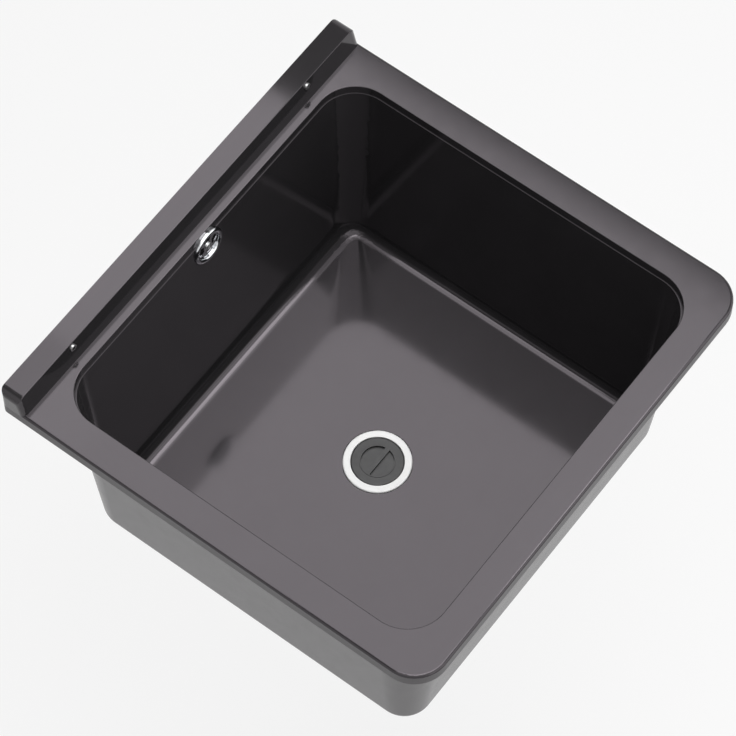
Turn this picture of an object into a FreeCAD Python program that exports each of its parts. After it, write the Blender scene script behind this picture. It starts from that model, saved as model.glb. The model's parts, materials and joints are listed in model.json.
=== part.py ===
import FreeCAD, Part
import math
import os

from FreeCAD import Placement, Rotation, Vector

# Wall-hung utility sink, in millimetres: X across, +Y towards the wall, +Z up.
# The origin is on the wall face, midway across the sink, level with the top of the rim.

# Rim
rim_width = 520.0
rim_depth = 493.0
rim_plate = 6.0
rim_corner_radius = 36.0
rear_corner_radius = 6.0
rim_edge_round = 3.0
skirt_height = 15.0
skirt_wall = 5.0

# Bowl: each mouth size runs from the rim's outer edge to the bowl wall, drawn on up to rim level
shell = 7.0
mouth_side = 34.8
mouth_front = 32.7
mouth_rear = 39.9
mouth_corner_radius = 41.0
mouth_round = 0.8
lip_depth = 10.0
lip_step = 1.0
bowl_depth = 244.0
side_draft = 5.0
front_draft = 5.3
rear_draft = 4.0
floor_corner_radius = 22.0
floor_fillet = 12.0
rear_floor_fillet = 16.0
base_round = 12.0

# Upstand along the wall, hollow behind, with ribs
upstand_height = 24.0
upstand_foot_depth = 29.0
upstand_top_depth = 23.0
upstand_corner_radius = 6.0
upstand_front_round = 1.0
upstand_end_round = 9.5
upstand_wall = 4.0
rib_wall = 3.5
rib_pitch = 50.0

# Sleeves for the two wall screws
screw_spacing = 362.0
screw_drop = 6.5
sleeve_bore = 5.5
sleeve_wall = 1.0
sleeve_proud = 0.3
boss_wall = 4.0

# Waste in the floor
drain_from_wall = 246.5
flange_diameter = 70.0
flange_thickness = 4.0
flange_proud = 1.5
flange_edge_round = 1.5
neck_diameter = 50.0
neck_wall = 2.5
neck_reach = 12.0
flange_seal_thickness = 1.5
body_seal_thickness = 3.0
body_seal_width = 9.0
grid_thickness = 4.0
grid_slots = 6
grid_bar = 4.0
grid_ring = 2.0
waste_screw_diameter = 6.0
waste_screw_head = 11.6
screw_slot_width = 1.4
screw_slot_depth = 1.4
grid_boss_diameter = 16.0
grid_boss_drop = 4.0

# Stopper
plug_diameter = 54.4
plug_disc = 2.2
plug_edge_round = 1.5
plug_body_gap = 1.5
plug_body_height = 11.5
plug_dish_diameter = 34.0
plug_dish_depth = 2.4
plug_bead = 0.6
plug_bead_width = 1.2
grip_width = 5.0
seal_groove_depth = 1.6
seal_height = 4.0
seal_land = 3.0
seal_lip_round = 1.0

# Waste body
body_wall = 3.0
body_flange_thickness = 5.0
cup_height = 38.0
cup_step = 6.0
outlet_diameter = 47.8
outlet_wall = 3.9
outlet_length = 30.0
spider_arms = 3
spider_arm_width = 5.0
insert_length = 10.0
insert_wall = 1.5
port_reach = 37.0
port_drop = 25.0

# Overflow
overflow_drop = 24.0
rosette_diameter = 41.0
rosette_height = 4.5
rosette_seat = 1.5
rosette_ring = 5.5
rosette_ring_round = 2.4
rosette_plate = 1.6
rosette_slots = 4
rosette_slot_sweep = 58.0
rosette_slot_inner = 6.2
overflow_hole = 24.0
overflow_screw_diameter = 4.0
overflow_screw_head = 8.0
overflow_head_height = 1.8
overflow_head_round = 1.1
overflow_screw_length = 22.0
cross_slot_length = 4.8
overflow_seal_thickness = 2.0
elbow_headroom = 2.0
elbow_flange_thickness = 4.0
elbow_tube_diameter = 26.0
elbow_tube_bore = 20.0
elbow_cap = 3.0
post_diameter = 11.0
post_start = 4.0

# Overflow pipe and its two slip joints
pipe_diameter = 20.0
pipe_wall = 1.5
pipe_bend_radius = 45.0
socket_depth = 20.0
socket_wall = 2.6
socket_neck = 14.0
slip_seal_length = 4.0
slip_ring_thickness = 1.2
nut_overlap = 14.0
nut_wall = 2.2
nut_end = 4.0
nut_ribs = 12
nut_rib_radius = 1.0

# Clearances
fit_gap = 0.1
assembly_gap = 0.3
hole_gap = 1.0
recess_gap = 0.8

# How far a cut runs past the face it opens, and how close an edge must lie to count as found
overcut = 1.0
near = 0.1

# Worked-out places
half_width = rim_width / 2
floor_z = -bowl_depth
flange_top = floor_z + flange_proud
flange_under = flange_top - flange_thickness
recess_z = flange_under - flange_seal_thickness
pad_z = recess_z - shell
neck_radius = neck_diameter / 2
neck_bore = neck_radius - neck_wall
plug_radius = plug_diameter / 2
plug_seat = flange_top - plug_disc
plug_bottom = plug_seat - plug_body_height
plug_body_radius = neck_bore - plug_body_gap
seal_bottom = plug_bottom + seal_land
grid_z = pad_z - neck_reach
grid_top = grid_z + grid_thickness
drain_hole = neck_radius + hole_gap
body_top = pad_z - body_seal_thickness
cup_bore = neck_radius + hole_gap
cup_radius = cup_bore + body_wall
cup_floor = body_top - body_flange_thickness - cup_height
outlet_radius = outlet_diameter / 2
outlet_bore = outlet_radius - outlet_wall
outlet_top = cup_floor - cup_step
outlet_end = outlet_top - outlet_length
port_z = body_top - port_drop
pipe_radius = pipe_diameter / 2
pipe_bore = pipe_radius - pipe_wall
socket_bore = pipe_radius + assembly_gap
socket_radius = socket_bore + socket_wall
slip_seal_radius = socket_radius - assembly_gap
screw_x = screw_spacing / 2
screw_height = upstand_height - screw_drop
sleeve_radius = sleeve_bore / 2 + sleeve_wall
upstand_lean = (upstand_foot_depth - upstand_top_depth) / upstand_height
rear_slope = math.tan(math.radians(rear_draft))
rear_cos = math.cos(math.radians(rear_draft))
overflow_y = -mouth_rear - overflow_drop * rear_slope
rear_wall = shell * rear_cos
overflow_back = rear_wall + overflow_seal_thickness
elbow_flange_radius = overflow_drop - rim_plate - elbow_headroom
space_behind_bowl = mouth_rear + 2 * overflow_drop * rear_slope - shell / rear_cos
pipe_from_wall = space_behind_bowl / 2
axis_reach = (-pipe_from_wall - overflow_y) / rear_cos
junction_z = -overflow_drop - axis_reach * math.sin(math.radians(rear_draft))
UP = Vector(0, 0, 1)
ACROSS = Vector(1, 0, 0)
drain_place = Placement(Vector(0, -drain_from_wall, 0), Rotation())
overflow_turn = Rotation(ACROSS, -90 - rear_draft)
overflow_place = Placement(Vector(0, overflow_y, -overflow_drop), overflow_turn)
upper_joint = Placement(Vector(0, -pipe_from_wall, junction_z - socket_neck), Rotation(ACROSS, 180))
lower_joint = Placement(Vector(0, port_reach - drain_from_wall, port_z), Rotation(ACROSS, -90))
lower_joint_from_drain = drain_place.inverse().multiply(lower_joint)


# Shared helpers
def cylinder(radius, bottom, top):
    return Part.makeCylinder(radius, top - bottom, Vector(0, 0, bottom))


def tube(outer, inner, bottom, top):
    return cylinder(outer, bottom, top).cut(cylinder(inner, bottom, top))


def turned(points):
    corners = [Vector(r, 0, z) for r, z in points]
    wire = Part.makePolygon(corners + corners[:1])
    return Part.Face(wire).revolve(Vector(0, 0, 0), UP, 360)


def ring_sector(inner, outer, bottom, top, start, sweep):
    corners = [Vector(r, 0, z) for r, z in ((inner, bottom), (outer, bottom), (outer, top), (inner, top))]
    face = Part.Face(Part.makePolygon(corners + corners[:1]))
    sector = face.revolve(Vector(0, 0, 0), UP, sweep)
    sector.rotate(Vector(0, 0, 0), UP, start)
    return sector


def bar(length, width, bottom, top):
    return Part.makeBox(length, width, top - bottom, Vector(-length / 2, -width / 2, bottom))


def around(shape, count):
    turns = []
    for step in range(count):
        copy = shape.copy()
        copy.rotate(Vector(0, 0, 0), UP, 360 * step / count)
        turns.append(copy)
    return turns


def placed(shape, place):
    moved = shape.copy()
    moved.Placement = place.multiply(moved.Placement)
    return moved


def edges_at(shape, height):
    flat = []
    for edge in shape.Edges:
        box = edge.BoundBox
        if abs(box.ZMin - height) < 1e-4 and abs(box.ZMax - height) < 1e-4:
            flat.append(edge)
    return flat


def edges_reaching(shape, radius, height):
    """Flat edges at a height that reach out to a radius from the Z axis."""
    return [edge for edge in edges_at(shape, height) if edge.BoundBox.XMax > radius - near]


def rounded_outline(left, right, front, rear, front_radius, rear_radius, height):
    """Closed rectangle with rounded front corners and, if rear_radius isn't 0, rounded rear corners."""
    corners = (
        (left, front, front_radius, 180),
        (right, front, front_radius, 270),
        (right, rear, rear_radius, 0),
        (left, rear, rear_radius, 90),
    )
    stretches = []
    for x, y, radius, start in corners:
        inward_x = 1 if x == left else -1
        inward_y = 1 if y == front else -1
        centre = Vector(x + inward_x * radius, y + inward_y * radius, height)
        points = []
        for angle in (start, start + 45, start + 90):
            turn = math.radians(angle)
            points.append(centre + Vector(radius * math.cos(turn), radius * math.sin(turn), 0))
        stretches.append((radius, points))
    edges = []
    for index, (radius, points) in enumerate(stretches):
        if radius > 0:
            edges.append(Part.Arc(*points).toShape())
        following = stretches[(index + 1) % len(stretches)][1]
        edges.append(Part.LineSegment(points[2], following[0]).toShape())
    return Part.Wire(edges)


def prism(wire, vector):
    return Part.Face(wire).extrude(vector)


# Basin
def bowl_outline(height, outset):
    depth = -height
    right = half_width - mouth_side - depth * math.tan(math.radians(side_draft)) + outset
    front = mouth_front - rim_depth + depth * math.tan(math.radians(front_draft)) - outset
    rear = -mouth_rear - depth * rear_slope + outset
    share = depth / bowl_depth
    radius = mouth_corner_radius + (floor_corner_radius - mouth_corner_radius) * share + outset
    return rounded_outline(-right, right, front, rear, radius, radius, height)


def bowl_form(top, bottom, outset):
    return Part.makeLoft([bowl_outline(top, outset), bowl_outline(bottom, outset)], True, True)


def bowl_outside():
    bottom = floor_z - shell
    form = bowl_form(-rim_plate / 2, bottom, shell)
    return form.makeFillet(base_round, edges_at(form, bottom))


def bowl_inside():
    """The bowl's hollow: its floor fillet is larger along the rear and tapers through the rear corners."""
    form = bowl_form(overcut, floor_z, 0)
    rear = -mouth_rear - bowl_depth * rear_slope
    radii = []
    for number, edge in enumerate(form.Edges, 1):
        if edge.BoundBox.ZMax < floor_z + near:
            sizes = []
            for parameter in edge.ParameterRange:
                at_rear = edge.valueAt(parameter).y > rear - near
                sizes.append(rear_floor_fillet if at_rear else floor_fillet)
            radii.append((number, *sizes))
    document = FreeCAD.newDocument("bowl")
    sharp = document.addObject("Part::Feature", "sharp")
    sharp.Shape = form
    rounded = document.addObject("Part::Fillet", "rounded")
    rounded.Base = sharp
    rounded.Edges = radii
    document.recompute()
    inside = rounded.Shape.copy()
    FreeCAD.closeDocument(document.Name)
    return inside


def mouth_lip():
    """Wider, straight-sided top of the bowl, which leaves a narrow step in its wall."""
    outlines = [bowl_outline(overcut, lip_step), bowl_outline(-lip_depth, lip_step)]
    return Part.makeLoft(outlines, True, True)


def rim_form():
    front_radius = rim_corner_radius
    rear_radius = rear_corner_radius
    plan = rounded_outline(-half_width, half_width, -rim_depth, 0, front_radius, rear_radius, -skirt_height)
    block = prism(plan, Vector(0, 0, skirt_height))
    outer_edges = [edge for edge in edges_at(block, 0) if edge.BoundBox.YMin < -near]
    block = block.makeFillet(rim_edge_round, outer_edges)
    inner_half = half_width - skirt_wall
    hollow_plan = rounded_outline(
        -inner_half, inner_half, skirt_wall - rim_depth, -skirt_wall,
        front_radius - skirt_wall, rear_radius - skirt_wall, -skirt_height,
    )
    return block.cut(prism(hollow_plan, Vector(0, 0, skirt_height - rim_plate)))


def front_at(height):
    """Y of the upstand's leaning front face at a height."""
    return -upstand_foot_depth + height * upstand_lean


def upstand_form():
    root = -rim_edge_round
    front_radius = upstand_corner_radius
    outlines = []
    for height in (root, upstand_height):
        front = front_at(height)
        outlines.append(
            rounded_outline(-half_width, half_width, front, 0, front_radius, rear_corner_radius, height)
        )
    rail = Part.makeLoft(outlines, True, True)
    ends = rounded_outline(-half_width, half_width, root, upstand_height, 0, upstand_end_round, 0)
    ends.rotate(Vector(0, 0, 0), ACROSS, 90)
    rail = rail.common(prism(ends, Vector(0, -2 * upstand_foot_depth, 0)))
    front_edges = []
    for edge in edges_at(rail, upstand_height):
        if edge.BoundBox.YMax < -near and edge.BoundBox.XLength > half_width:
            front_edges.append(edge)
    return rail.makeFillet(upstand_front_round, front_edges)


def hollow_section():
    """Section of the hollow behind the upstand's front wall, drawn in the YZ plane at X = 0."""
    top = upstand_height - upstand_wall
    wall = upstand_wall * math.hypot(1, upstand_lean)
    foot = front_at(0) + wall
    brow = front_at(top) + wall
    corners = [Vector(0, y, z) for y, z in ((overcut, 0), (foot, 0), (brow, top), (overcut, top))]
    return Part.makePolygon(corners + corners[:1])


def upstand_hollows():
    boss_half = sleeve_radius + boss_wall
    outer_end = half_width - upstand_end_round
    hollows = []
    for start, stop in ((rib_wall / 2, screw_x - boss_half), (screw_x + boss_half, outer_end)):
        count = max(1, round((stop - start) / rib_pitch))
        width = (stop - start - (count - 1) * rib_wall) / count
        for index in range(count):
            left = start + index * (width + rib_wall)
            hollow = prism(hollow_section(), Vector(width, 0, 0))
            hollows.append(hollow.translated(Vector(left, 0, 0)))
            hollows.append(hollow.translated(Vector(-left - width, 0, 0)))
    return hollows


def along_wall_axis(radius, front, rear, x, height):
    return Part.makeCylinder(radius, rear - front, Vector(x, front, height), Vector(0, 1, 0))


def mouth_edges(basin):
    """Edges round the bowl's mouth in the top of the rim."""
    reach = lip_step + near
    front = mouth_front - rim_depth - reach
    rear = reach - mouth_rear
    side = half_width - mouth_side + reach
    edges = []
    for edge in edges_at(basin, 0):
        box = edge.BoundBox
        if box.YMin > front and box.YMax < rear and box.XMin > -side and box.XMax < side:
            edges.append(edge)
    return edges


def make_basin():
    recess_radius = flange_diameter / 2 + recess_gap
    basin = rim_form().fuse(bowl_outside())
    pad = cylinder(recess_radius + shell, pad_z, floor_z - shell / 2)
    basin = basin.fuse([upstand_form(), placed(pad, drain_place)])
    cavity = bowl_inside().fuse(mouth_lip())
    basin = basin.cut(cavity).removeSplitter()
    basin = basin.makeFillet(mouth_round, mouth_edges(basin))
    recess = cylinder(recess_radius, recess_z, floor_z + overcut)
    drain = cylinder(drain_hole, pad_z - overcut, recess_z + overcut)
    seat = cylinder(rosette_diameter / 2 + fit_gap, -shell, rosette_seat)
    overflow = cylinder(overflow_hole / 2, 0, 2 * shell)
    cuts = [placed(recess, drain_place), placed(drain, drain_place)]
    cuts += [placed(seat, overflow_place), placed(overflow, overflow_place)]
    for side in (-1, 1):
        bore = sleeve_radius + fit_gap
        cuts.append(along_wall_axis(bore, 2 * front_at(0), overcut, side * screw_x, screw_height))
    return basin.cut(upstand_hollows() + cuts).removeSplitter()


# Wall fixing
def make_sleeves():
    front = front_at(screw_height - sleeve_radius) - sleeve_proud
    sleeves = []
    for side in (-1, 1):
        x = side * screw_x
        outer = along_wall_axis(sleeve_radius, front, 0, x, screw_height)
        sleeves.append(outer.cut(along_wall_axis(sleeve_bore / 2, front, 0, x, screw_height)))
    return Part.makeCompound(sleeves)


# Waste
def make_flange():
    rim_radius = flange_diameter / 2
    seat_radius = plug_radius + assembly_gap
    ledge = plug_seat - fit_gap
    flange = turned((
        (neck_bore, grid_z), (neck_radius, grid_z), (neck_radius, flange_under), (rim_radius, flange_under),
        (rim_radius, flange_top), (seat_radius, flange_top), (seat_radius, ledge), (neck_bore, ledge),
    ))
    flange = flange.makeFillet(flange_edge_round, edges_reaching(flange, rim_radius, flange_top))
    boss_radius = grid_boss_diameter / 2
    slot_outer = neck_bore - grid_ring
    bar_angle = 2 * math.degrees(math.asin(grid_bar / (boss_radius + slot_outer)))
    sweep = 360 / grid_slots - bar_angle
    slot = ring_sector(boss_radius, slot_outer, grid_z - overcut, grid_top + overcut, -sweep / 2, sweep)
    grid = cylinder(neck_bore + neck_wall / 2, grid_z, grid_top).cut(around(slot, grid_slots))
    grid = grid.fuse(cylinder(boss_radius, grid_z - grid_boss_drop, grid_top))
    grid = grid.cut(waste_screw_core(fit_gap))
    return placed(flange.fuse(grid).removeSplitter(), drain_place)


def waste_screw_core(gap):
    """Countersunk head and shank of the waste screw, wider by a gap."""
    head = waste_screw_head / 2 + gap
    shank = waste_screw_diameter / 2 + gap
    neck = grid_top - head + shank
    tip = outlet_top + fit_gap
    return turned(((0, grid_top), (head, grid_top), (shank, neck), (shank, tip), (0, tip)))


def make_waste_screw():
    slot = bar(waste_screw_head, screw_slot_width, grid_top - screw_slot_depth, grid_top)
    return placed(waste_screw_core(0).cut(slot), drain_place)


def make_flange_seal():
    seal = tube(flange_diameter / 2, drain_hole, recess_z, flange_under)
    return placed(seal, drain_place)


def make_body_seal():
    seal = tube(drain_hole + body_seal_width, drain_hole, body_top, pad_z)
    return placed(seal, drain_place)


def insert_radius(screw_diameter):
    return screw_diameter / 2 + insert_wall


def threaded_insert(screw_diameter, bottom):
    bore = screw_diameter / 2 + fit_gap
    return tube(insert_radius(screw_diameter), bore, bottom, bottom + insert_length)


def make_waste_body():
    flange_radius = drain_hole + body_seal_width
    flange_bottom = body_top - body_flange_thickness
    shape = turned((
        (cup_bore, cup_floor), (outlet_bore, outlet_top), (outlet_bore, outlet_end),
        (outlet_radius, outlet_end), (outlet_radius, outlet_top), (cup_radius, cup_floor),
        (cup_radius, flange_bottom), (flange_radius, flange_bottom), (flange_radius, body_top),
        (cup_bore, body_top),
    ))
    barrel = placed(socket_barrel(port_reach - cup_bore), lower_joint_from_drain)
    shape = shape.fuse(barrel.cut(cylinder(cup_bore, outlet_top, body_top)))
    shape = shape.cut(placed(socket_hole(port_reach), lower_joint_from_drain))
    hub_top = outlet_top + insert_length
    insert_hole = insert_radius(waste_screw_diameter) + fit_gap
    arm_corner = Vector(0, -spider_arm_width / 2, outlet_top)
    arm = Part.makeBox(outlet_bore + outlet_wall / 2, spider_arm_width, cup_step, arm_corner)
    spider = cylinder(insert_hole + body_wall, outlet_top, hub_top).fuse(around(arm, spider_arms))
    shape = shape.fuse(spider).cut(cylinder(insert_hole, outlet_top - overcut, hub_top + overcut))
    return placed(shape.removeSplitter(), drain_place)


def make_waste_insert():
    return placed(threaded_insert(waste_screw_diameter, outlet_top), drain_place)


# Stopper
def make_plug():
    body = plug_body_radius
    groove = body - seal_groove_depth
    groove_top = seal_bottom + seal_height + 2 * fit_gap
    plug = turned((
        (0, plug_bottom), (body, plug_bottom), (body, seal_bottom), (groove, seal_bottom),
        (groove, groove_top), (body, groove_top), (body, plug_seat), (plug_radius, plug_seat),
        (plug_radius, flange_top), (0, flange_top),
    ))
    plug = plug.makeFillet(plug_edge_round, edges_reaching(plug, plug_radius, flange_top))
    dish_radius = plug_dish_diameter / 2
    dish_floor = flange_top - plug_dish_depth
    bead_top = flange_top + plug_bead
    plug = plug.cut(cylinder(dish_radius, dish_floor, flange_top + overcut))
    bead = tube(dish_radius + plug_bead_width, dish_radius, dish_floor, bead_top)
    grip = bar(plug_dish_diameter + plug_bead_width, grip_width, dish_floor - overcut, bead_top)
    return placed(plug.fuse([bead, grip]).removeSplitter(), drain_place)


def make_plug_seal():
    groove = plug_body_radius - seal_groove_depth + fit_gap
    outer = neck_bore - assembly_gap
    bottom = seal_bottom + fit_gap
    top = bottom + seal_height
    seal = tube(outer, groove, bottom, top)
    lip_edges = edges_reaching(seal, outer, bottom) + edges_reaching(seal, outer, top)
    return placed(seal.makeFillet(seal_lip_round, lip_edges), drain_place)


# Slip joints, along their own +Z from the stop where the pipe ends
def socket_barrel(back):
    return cylinder(socket_radius, -back, socket_depth)


def socket_hole(back):
    return cylinder(pipe_bore, -back, socket_depth).fuse(cylinder(socket_bore, 0, socket_depth + overcut))


def slip_seal():
    end = socket_depth + slip_seal_length
    return tube(slip_seal_radius, pipe_radius + fit_gap, socket_depth, end)


def slip_ring():
    start = socket_depth + slip_seal_length
    return tube(slip_seal_radius, pipe_radius + assembly_gap, start, start + slip_ring_thickness)


def slip_nut():
    inner = socket_radius + assembly_gap
    outer = inner + nut_wall
    start = socket_depth - nut_overlap
    wall_start = socket_depth + slip_seal_length + slip_ring_thickness
    end = wall_start + nut_end
    nut = turned((
        (inner, start), (outer, start), (outer, end),
        (socket_bore, end), (socket_bore, wall_start), (inner, wall_start),
    ))
    rib = Part.makeCylinder(nut_rib_radius, end - start, Vector(outer, 0, start))
    return nut.fuse(around(rib, nut_ribs)).removeSplitter()


def at_both_joints(shape):
    return Part.makeCompound([placed(shape, upper_joint), placed(shape, lower_joint)])


def make_pipe():
    top = junction_z - socket_neck - assembly_gap
    end_y = port_reach - drain_from_wall + assembly_gap
    line_y = -pipe_from_wall
    radius = pipe_bend_radius
    middle = radius * (1 - math.cos(math.radians(45)))
    points = (
        Vector(0, line_y, top),
        Vector(0, line_y, port_z + radius),
        Vector(0, line_y - middle, port_z + middle),
        Vector(0, line_y - radius, port_z),
        Vector(0, end_y, port_z),
    )
    path = Part.Wire([
        Part.LineSegment(points[0], points[1]).toShape(),
        Part.Arc(points[1], points[2], points[3]).toShape(),
        Part.LineSegment(points[3], points[4]).toShape(),
    ])
    sweeps = []
    for size in (pipe_radius, pipe_bore):
        section = Part.Wire(Part.Circle(points[0], Vector(0, 0, -1), size).toShape())
        sweeps.append(path.makePipeShell([section], True, False))
    return sweeps[0].cut(sweeps[1])


# Overflow, along its own +Z from the bowl's rear wall towards the room wall
def make_rosette():
    outer = rosette_diameter / 2 - fit_gap
    inner = rosette_diameter / 2 - rosette_ring
    front = rosette_seat - rosette_height
    plate_front = rosette_seat - rosette_plate
    rosette = turned((
        (0, rosette_seat), (outer, rosette_seat), (outer, front),
        (inner, front), (inner, plate_front), (0, plate_front),
    ))
    rosette = rosette.makeFillet(rosette_ring_round, edges_at(rosette, front))
    slot_outer = inner - rosette_plate
    cut_front = plate_front - overcut
    cut_back = rosette_seat + overcut
    start = -rosette_slot_sweep / 2
    slot = ring_sector(rosette_slot_inner, slot_outer, cut_front, cut_back, start, rosette_slot_sweep)
    cuts = around(slot, rosette_slots)
    cuts.append(cylinder(overflow_screw_diameter / 2 + fit_gap, cut_front, cut_back))
    return placed(rosette.cut(cuts), overflow_place)


def make_overflow_screw():
    under_head = rosette_seat - rosette_plate
    front = under_head - overflow_head_height
    head = cylinder(overflow_screw_head / 2, front, under_head)
    head = head.makeFillet(overflow_head_round, edges_at(head, front))
    shank = cylinder(overflow_screw_diameter / 2, under_head, under_head + overflow_screw_length)
    slots = []
    for length, width in ((cross_slot_length, screw_slot_width), (screw_slot_width, cross_slot_length)):
        slots.append(bar(length, width, front, front + screw_slot_depth))
    return placed(head.fuse(shank).cut(slots), overflow_place)


def make_overflow_seal():
    seal = tube(elbow_flange_radius, overflow_hole / 2, rear_wall, overflow_back)
    return placed(seal, overflow_place)


def make_elbow():
    flange = cylinder(elbow_flange_radius, overflow_back, overflow_back + elbow_flange_thickness)
    neck = cylinder(elbow_tube_diameter / 2, overflow_back, axis_reach)
    neck_hole = cylinder(elbow_tube_bore / 2, overflow_back - overcut, axis_reach)
    barrel_top = elbow_tube_diameter / 2 + socket_neck
    barrel = placed(socket_barrel(barrel_top), upper_joint)
    barrel_hole = placed(socket_hole(barrel_top - elbow_cap), upper_joint)
    shape = placed(flange.fuse(neck), overflow_place).fuse(barrel)
    shape = shape.cut([placed(neck_hole, overflow_place), barrel_hole])
    post_front = overflow_back + post_start
    post_end = axis_reach + pipe_bore + socket_wall / 2
    post = cylinder(post_diameter / 2, post_front, post_end)
    hole_end = post_front + insert_length + assembly_gap
    hole = cylinder(insert_radius(overflow_screw_diameter) + fit_gap, post_front - overcut, hole_end)
    shape = shape.fuse(placed(post, overflow_place)).cut(placed(hole, overflow_place))
    return shape.removeSplitter()


def make_overflow_insert():
    insert = threaded_insert(overflow_screw_diameter, overflow_back + post_start)
    return placed(insert, overflow_place)


def main():
    nodes = {
        "basin": make_basin(),
        "wall_screw_sleeves": make_sleeves(),
        "waste_flange": make_flange(),
        "flange_seal": make_flange_seal(),
        "body_seal": make_body_seal(),
        "waste_body": make_waste_body(),
        "waste_screw": make_waste_screw(),
        "waste_insert": make_waste_insert(),
        "stopper_plug": make_plug(),
        "plug_seal": make_plug_seal(),
        "overflow_rosette": make_rosette(),
        "overflow_screw": make_overflow_screw(),
        "overflow_seal": make_overflow_seal(),
        "overflow_elbow": make_elbow(),
        "overflow_insert": make_overflow_insert(),
        "overflow_pipe": make_pipe(),
        "slip_nuts": at_both_joints(slip_nut()),
        "slip_seals": at_both_joints(slip_seal()),
        "slip_rings": at_both_joints(slip_ring()),
    }
    os.makedirs("parts", exist_ok=True)
    for name, shape in nodes.items():
        shape.exportStep(f"parts/{name}.step")
        print(name, "solids", len(shape.Solids), "valid", shape.isValid(), "mm3", round(shape.Volume))


main()
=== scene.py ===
import json
import math

import bpy
from mathutils import Matrix, Vector

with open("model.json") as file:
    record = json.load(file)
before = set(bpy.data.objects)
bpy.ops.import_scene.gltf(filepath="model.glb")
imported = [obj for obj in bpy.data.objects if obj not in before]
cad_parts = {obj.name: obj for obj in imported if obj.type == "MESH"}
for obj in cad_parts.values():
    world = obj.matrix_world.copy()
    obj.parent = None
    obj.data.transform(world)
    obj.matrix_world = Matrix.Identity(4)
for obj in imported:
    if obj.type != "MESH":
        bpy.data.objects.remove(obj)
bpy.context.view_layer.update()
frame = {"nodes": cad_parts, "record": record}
nodes = frame["nodes"]

# Camera, from the straight edges of the photograph: angles in degrees, lengths in metres
camera_azimuth = -52.74
camera_elevation = 61.89
camera_roll = -0.29
camera_distance = 3.718
camera_target = Vector((-0.0245, -0.2538, 0.0))
camera_lens_mm = 193.0
sensor_mm = 36.0

# Stage: the sink hangs with its rim at the usual height above a white floor, which shows only a share of its shading
rim_above_floor = 0.85
floor_half_size = 30.0
floor_white = (0.9, 0.9, 0.9, 1)
floor_roughness = 0.9
floor_shadow_share = 0.18

# Studio: white up from the floor, grey overhead between these heights of a view ray, and a weak even fill as a light
ceiling_heights = (0.45, 0.75)
ceiling_grey = 0.25
fill_strength = 0.08

# Softboxes overhead, facing straight down: middle across and along, width and depth in metres, brightness of the face
overhead_height = 1.6
overhead_boxes = {
    "rear_right_box": (0.65, 0.17, 0.82, 0.66, 3.25),
    "rear_edge_box": (0.65, 0.64, 0.82, 0.28, 3.6),
    "front_right_strip": (0.69, -0.355, 0.50, 0.39, 6.5),
    "front_key": (0.675, -0.765, 0.41, 0.43, 7.5),
    "centre_key": (-0.08, -0.50, 1.0, 0.56, 6.2),
    "front_far_box": (0.85, -1.365, 0.8, 0.77, 1.8),
    "rear_strip": (-0.08, 0.24, 0.64, 0.92, 2.9),
    "rear_left_strip": (-0.70, 0.335, 0.60, 0.43, 3.6),
    "left_box": (-1.16, -1.075, 1.08, 1.75, 1.3),
    "front_left_box": (-0.16, -1.425, 0.92, 1.05, 1.5),
}

# Softbox in front of the sink, and the point that it faces
front_box_middle = (0.9, -2.6, 1.1)
front_box_target = (0.0, -0.2, -0.05)
front_box_size = (5.0, 2.4)
front_box_brightness = 1.25

# The part of a noise's range that is spread over a pair of colours or numbers
noise_range = (0.3, 0.7)

# Sink mark in the upstand: where it starts from the middle, its lean per metre beyond, and the height that it needs
sag_start = 0.09
sag_rate = 0.54
sag_above = 0.004

# Outside of the basin: satin below the rim's edge, rougher than the polished inside by so much on walls and skirt
basin_middle = (0.0, -0.25, -0.12)
satin_below = -0.003
wall_satin = 0.16
skirt_satin = 0.28
skirt_low = -0.015

# Straight rounds between the bowl's floor and its walls: the axis that they cross, the side that they are on, their own
# axis's place, their radius and the stretch that they cover. They meet the walls this much above their own axes, and
# the basin's outside lies beyond the margin times their radius.
floor_height = -0.244
round_top = 0.0011
round_margin = 1.1
floor_rounds = {
    "rear": ("Y", 1, -0.07188, 0.016, (-0.165, 0.165)),
    "front": ("Y", -1, -0.42673, 0.012, (-0.165, 0.165)),
    "right": ("X", 1, 0.19286, 0.012, (-0.405, -0.097)),
    "left": ("X", -1, -0.19286, 0.012, (-0.405, -0.097)),
}

# Fall of the bowl's floor to the drain: across and along, from this far round the drain and below this height
floor_fall = (0.0064, 0.0046)
fall_start = 0.05
fall_below = -0.242
drain_y = -0.2465


# Shader helpers
def new_material(name):
    """A node material, its node tree and its Principled shader."""
    material = bpy.data.materials.new(name)
    material.use_nodes = True
    return material, material.node_tree, material.node_tree.nodes["Principled BSDF"]


def add_node(tree, kind, **values):
    """A new node with the given properties."""
    node = tree.nodes.new(kind)
    for key, value in values.items():
        setattr(node, key, value)
    return node


def connect(tree, value, socket):
    """Feeds an input from another node's output, or sets it to a plain value."""
    if isinstance(value, bpy.types.NodeSocket):
        tree.links.new(value, socket)
    else:
        socket.default_value = value


def math_node(tree, operation, first, second=0.0):
    """The result of a Math node on two values, each an output or a number."""
    node = add_node(tree, "ShaderNodeMath", operation=operation)
    connect(tree, first, node.inputs[0])
    connect(tree, second, node.inputs[1])
    return node.outputs["Value"]


def vector_node(tree, operation, *values):
    """The result of a Vector Math node: a number for a length or a dot product, and otherwise a vector."""
    node = add_node(tree, "ShaderNodeVectorMath", operation=operation)
    for value, socket in zip(values, node.inputs):
        connect(tree, value, socket)
    return node.outputs["Value" if operation in ("LENGTH", "DOT_PRODUCT") else "Vector"]


def join_axes(tree, **parts):
    """A vector with the given parts along its axes, and 0 along the others."""
    node = add_node(tree, "ShaderNodeCombineXYZ")
    for axis, value in parts.items():
        connect(tree, value, node.inputs[axis])
    return node.outputs["Vector"]


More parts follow.
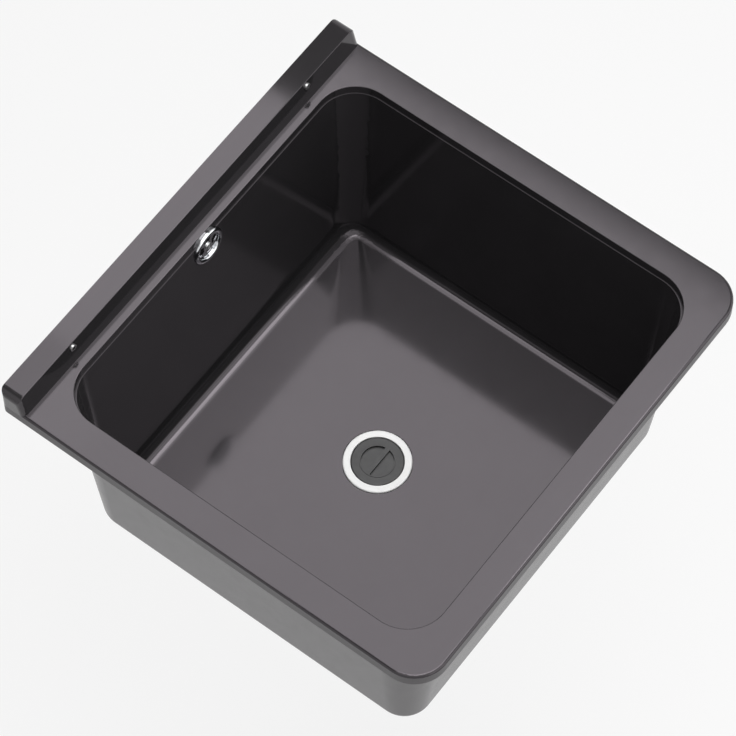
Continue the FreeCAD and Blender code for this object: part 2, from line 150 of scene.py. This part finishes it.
def split_axes(tree, vector):
    """The X, Y and Z outputs of a vector."""
    node = add_node(tree, "ShaderNodeSeparateXYZ")
    connect(tree, vector, node.inputs["Vector"])
    return node.outputs


def map_range(tree, value, source, target, **values):
    """A value taken from one range to another and held within it."""
    node = add_node(tree, "ShaderNodeMapRange", **values)
    for name, number in zip(("From Min", "From Max", "To Min", "To Max"), (*source, *target)):
        node.inputs[name].default_value = number
    connect(tree, value, node.inputs["Value"])
    return node.outputs["Result"]


def noise(tree, scale, detail=3.0, stretch=(1, 1, 1)):
    """Noise over the piece's own place in metres, so that its scale is in waves per metre."""
    mapping = add_node(tree, "ShaderNodeMapping")
    mapping.inputs["Scale"].default_value = stretch
    connect(tree, add_node(tree, "ShaderNodeTexCoord").outputs["Object"], mapping.inputs["Vector"])
    texture = add_node(tree, "ShaderNodeTexNoise")
    texture.inputs["Scale"].default_value = scale
    texture.inputs["Detail"].default_value = detail
    connect(tree, mapping.outputs["Vector"], texture.inputs["Vector"])
    return texture.outputs["Fac"]


def two_colours(tree, value, first, second):
    """A noise value's middle range as a blend of two colours."""
    ramp = add_node(tree, "ShaderNodeValToRGB")
    for element, position, colour in zip(ramp.color_ramp.elements, noise_range, (first, second)):
        element.position = position
        element.color = (*colour, 1)
    connect(tree, value, ramp.inputs["Fac"])
    return ramp.outputs["Color"]


def bump(tree, shader, layers, normal=None):
    """Chains bump layers of (height, depth in metres), from a normal if given, into the shader's normal."""
    for height, depth in layers:
        node = add_node(tree, "ShaderNodeBump")
        node.inputs["Strength"].default_value = 1.0
        node.inputs["Distance"].default_value = depth
        connect(tree, height, node.inputs["Height"])
        if normal is not None:
            connect(tree, normal, node.inputs["Normal"])
        normal = node.outputs["Normal"]
    connect(tree, normal, shader.inputs["Normal"])


# The basin's plastic
def round_normal(tree, axes, normal):
    """The surface normal, exact on the straight rounds of the bowl's floor, where a mesh's own normals look wavy."""
    for across, side, middle, radius, (start, end) in floor_rounds.values():
        along = axes["X" if across == "Y" else "Y"]
        inwards = math_node(tree, "SUBTRACT", middle, axes[across])
        upwards = math_node(tree, "SUBTRACT", floor_height + radius, axes["Z"])
        arm = join_axes(tree, **{across: inwards, "Z": upwards})
        tests = (
            ("LESS_THAN", vector_node(tree, "LENGTH", arm), round_margin * radius),
            ("LESS_THAN", math_node(tree, "MULTIPLY", inwards, side), 0.0),
            ("GREATER_THAN", upwards, -round_top),
            ("GREATER_THAN", along, start),
            ("LESS_THAN", along, end),
        )
        share = 1.0
        for operation, value, limit in tests:
            share = math_node(tree, "MULTIPLY", share, math_node(tree, operation, value, limit))
        change = vector_node(tree, "SUBTRACT", vector_node(tree, "NORMALIZE", arm), normal)
        normal = vector_node(tree, "MULTIPLY_ADD", change, share, normal)
    return normal


def fall_towards(tree, place, centre, slope):
    """The lean of the normal on a floor that falls towards a centre line."""
    return map_range(tree, place, (centre - fall_start, centre + fall_start), (slope, -slope))


def moulded_normal(tree, axes):
    """The surface normal, leaning outwards at the upstand's sunken ends and to the drain on the bowl's floor."""
    past = math_node(tree, "SUBTRACT", math_node(tree, "ABSOLUTE", axes["X"]), sag_start)
    lean = math_node(tree, "MULTIPLY", math_node(tree, "MAXIMUM", past, 0.0), sag_rate)
    lean = math_node(tree, "MULTIPLY", lean, math_node(tree, "SIGN", axes["X"]))
    sag = math_node(tree, "MULTIPLY", lean, math_node(tree, "GREATER_THAN", axes["Z"], sag_above))
    on_floor = math_node(tree, "LESS_THAN", axes["Z"], fall_below)
    across = math_node(tree, "MULTIPLY", fall_towards(tree, axes["X"], 0.0, floor_fall[0]), on_floor)
    along = math_node(tree, "MULTIPLY", fall_towards(tree, axes["Y"], drain_y, floor_fall[1]), on_floor)
    sideways = join_axes(tree, X=math_node(tree, "ADD", across, sag), Y=along)
    surface = add_node(tree, "ShaderNodeNewGeometry").outputs["Normal"]
    return vector_node(tree, "NORMALIZE", vector_node(tree, "ADD", round_normal(tree, axes, surface), sideways))


def satin_share(tree, place, axes):
    """Extra roughness on faces that look away from the basin's middle, below the rim's edge."""
    surface = add_node(tree, "ShaderNodeNewGeometry").outputs["Normal"]
    facing = vector_node(tree, "DOT_PRODUCT", vector_node(tree, "SUBTRACT", place, basin_middle), surface)
    outside = math_node(tree, "GREATER_THAN", facing, 0.0)
    below = math_node(tree, "LESS_THAN", axes["Z"], satin_below)
    skirt = math_node(tree, "GREATER_THAN", axes["Z"], skirt_low)
    satin = math_node(tree, "ADD", math_node(tree, "MULTIPLY", skirt, skirt_satin - wall_satin), wall_satin)
    return math_node(tree, "MULTIPLY", math_node(tree, "MULTIPLY", below, outside), satin)


def anthracite_plastic():
    material, tree, shader = new_material("anthracite_plastic")
    place = add_node(tree, "ShaderNodeTexCoord").outputs["Object"]
    axes = split_axes(tree, place)
    colour = two_colours(tree, noise(tree, 22.0), (0.0180, 0.0171, 0.0181), (0.0208, 0.0198, 0.0210))
    connect(tree, colour, shader.inputs["Base Color"])
    polish = map_range(tree, noise(tree, 60.0, 5.0), noise_range, (0.08, 0.11))
    connect(tree, math_node(tree, "ADD", polish, satin_share(tree, place, axes)), shader.inputs["Roughness"])
    shader.inputs["IOR"].default_value = 1.5
    shader.inputs["Specular Tint"].default_value = (1.0, 0.91, 0.985, 1)
    grain = (noise(tree, 2600.0, 2.0), 0.000002)
    waves = (noise(tree, 7.0, 1.0), 0.00003)
    bump(tree, shader, [grain, waves], moulded_normal(tree, axes))
    return material


# Other materials
def moulded_plastic(name, first, second, rough):
    material, tree, shader = new_material(name)
    connect(tree, two_colours(tree, noise(tree, 45.0), first, second), shader.inputs["Base Color"])
    connect(tree, map_range(tree, noise(tree, 160.0, 5.0), noise_range, rough), shader.inputs["Roughness"])
    shader.inputs["IOR"].default_value = 1.5
    bump(tree, shader, [(noise(tree, 2200.0, 2.0), 0.00002), (noise(tree, 40.0, 1.0), 0.0002)])
    return material


def black_rubber():
    material, tree, shader = new_material("black_rubber")
    colour = two_colours(tree, noise(tree, 300.0, 6.0), (0.012, 0.012, 0.012), (0.026, 0.026, 0.025))
    connect(tree, colour, shader.inputs["Base Color"])
    connect(tree, map_range(tree, noise(tree, 500.0), noise_range, (0.55, 0.75)), shader.inputs["Roughness"])
    bump(tree, shader, [(noise(tree, 3000.0), 0.00004)])
    return material


def metal(name, first, second, rough, stretch, depth):
    """A metal with streaks that are drawn out by stretch and stand up by depth in metres."""
    material, tree, shader = new_material(name)
    shader.inputs["Metallic"].default_value = 1.0
    streaks = noise(tree, 900.0, 3.0, stretch)
    connect(tree, two_colours(tree, noise(tree, 200.0), first, second), shader.inputs["Base Color"])
    connect(tree, map_range(tree, streaks, noise_range, rough), shader.inputs["Roughness"])
    bump(tree, shader, [(streaks, depth)])
    return material


def dress_nodes():
    """Gives every carried-over node the material of its record slot, and evens the basin's normals."""
    turned = (1, 1, 0.1)
    finishes = {
        "basin_plastic": anthracite_plastic(),
        "plug_plastic": moulded_plastic("plug_plastic", (0.019, 0.0185, 0.0195), (0.026, 0.0255, 0.0265), (0.36, 0.46)),
        "white_plastic": moulded_plastic("white_plastic", (0.74, 0.74, 0.735), (0.78, 0.78, 0.775), (0.25, 0.36)),
        "grey_plastic": moulded_plastic("grey_plastic", (0.27, 0.28, 0.29), (0.33, 0.34, 0.35), (0.38, 0.5)),
        "rubber": black_rubber(),
        "chrome": metal("chrome", (0.62, 0.63, 0.65), (0.7, 0.71, 0.73), (0.1, 0.18), (1, 1, 1), 0.000004),
        "steel": metal("steel", (0.5, 0.5, 0.5), (0.6, 0.6, 0.6), (0.2, 0.34), turned, 0.00002),
        "brass": metal("brass", (0.56, 0.38, 0.14), (0.66, 0.47, 0.19), (0.22, 0.36), turned, 0.00002),
    }
    for part in frame["record"]["subparts"]:
        mesh = nodes[part["node"]].data
        mesh.materials.clear()
        mesh.materials.append(finishes[part["material_slot"]])
    even = nodes["basin"].modifiers.new("even_normals", "WEIGHTED_NORMAL")
    even.keep_sharp = True


# Stage, light and camera
def background_share(tree):
    """1 on rays that show the background: from the camera, in a mirror or through glass."""
    path = add_node(tree, "ShaderNodeLightPath").outputs
    mirrored = math_node(tree, "MAXIMUM", path["Is Camera Ray"], path["Is Glossy Ray"])
    return math_node(tree, "MAXIMUM", mirrored, path["Is Transmission Ray"])


def make_floor():
    """A white floor: seen directly it is mostly plain white, and it keeps a soft shadow of the object."""
    z = -rim_above_floor
    size = floor_half_size
    mesh = bpy.data.meshes.new("floor")
    mesh.from_pydata([(-size, -size, z), (size, -size, z), (size, size, z), (-size, size, z)], [], [(0, 1, 2, 3)])
    floor = bpy.data.objects.new("floor", mesh)
    bpy.context.scene.collection.objects.link(floor)
    material, tree, shader = new_material("floor_white")
    shader.inputs["Base Color"].default_value = floor_white
    shader.inputs["Roughness"].default_value = floor_roughness
    lit = shader.outputs["BSDF"]
    glow = add_node(tree, "ShaderNodeEmission")
    seen = add_node(tree, "ShaderNodeMixShader")
    seen.inputs["Fac"].default_value = 1 - floor_shadow_share
    connect(tree, lit, seen.inputs[1])
    connect(tree, glow.outputs["Emission"], seen.inputs[2])
    chosen = add_node(tree, "ShaderNodeMixShader")
    connect(tree, background_share(tree), chosen.inputs["Fac"])
    connect(tree, lit, chosen.inputs[1])
    connect(tree, seen.outputs["Shader"], chosen.inputs[2])
    connect(tree, chosen.outputs["Shader"], tree.nodes["Material Output"].inputs["Surface"])
    mesh.materials.append(material)


def make_world():
    """A studio, white up from the floor and grey overhead, and a weaker even fill as a light."""
    world = bpy.data.worlds.new("studio")
    world.use_nodes = True
    tree = world.node_tree
    background = tree.nodes["Background"]
    height = split_axes(tree, add_node(tree, "ShaderNodeTexCoord").outputs["Generated"])["Z"]
    ceiling = map_range(tree, height, ceiling_heights, (1.0, ceiling_grey), interpolation_type="SMOOTHSTEP")
    connect(tree, ceiling, background.inputs["Color"])
    strength = map_range(tree, background_share(tree), (0.0, 1.0), (fill_strength, 1.0))
    connect(tree, strength, background.inputs["Strength"])
    bpy.context.scene.world = world


def add_softbox(name, centre, facing, size, brightness):
    """A rectangular lamp whose face has the given brightness."""
    data = bpy.data.lights.new(name, "AREA")
    data.shape = "RECTANGLE"
    data.size, data.size_y = size
    data.energy = brightness * math.pi * size[0] * size[1]
    lamp = bpy.data.objects.new(name, data)
    lamp.location = centre
    direction = Vector(facing) - Vector(centre)
    lamp.rotation_euler = direction.to_track_quat("-Z", "Y").to_euler()
    bpy.context.scene.collection.objects.link(lamp)


def make_softboxes():
    for name, (x, y, width, depth, brightness) in overhead_boxes.items():
        add_softbox(name, (x, y, overhead_height), (x, y, 0.0), (width, depth), brightness)
    add_softbox("front_box", front_box_middle, front_box_target, front_box_size, front_box_brightness)


def make_camera():
    data = bpy.data.cameras.new("camera")
    data.sensor_width = sensor_mm
    data.lens = camera_lens_mm
    camera = bpy.data.objects.new("camera", data)
    azimuth = math.radians(camera_azimuth)
    elevation = math.radians(camera_elevation)
    level = math.cos(elevation)
    back = Vector((math.sin(azimuth) * level, -math.cos(azimuth) * level, math.sin(elevation)))
    turn = (-back).to_track_quat("-Z", "Y").to_matrix().to_4x4()
    roll = Matrix.Rotation(math.radians(camera_roll), 4, "Z")
    camera.matrix_world = Matrix.Translation(camera_target + back * camera_distance) @ turn @ roll
    bpy.context.scene.collection.objects.link(camera)
    bpy.context.scene.camera = camera


dress_nodes()
make_floor()
make_world()
make_softboxes()
make_camera()
bpy.context.scene.view_settings.view_transform = "Standard"
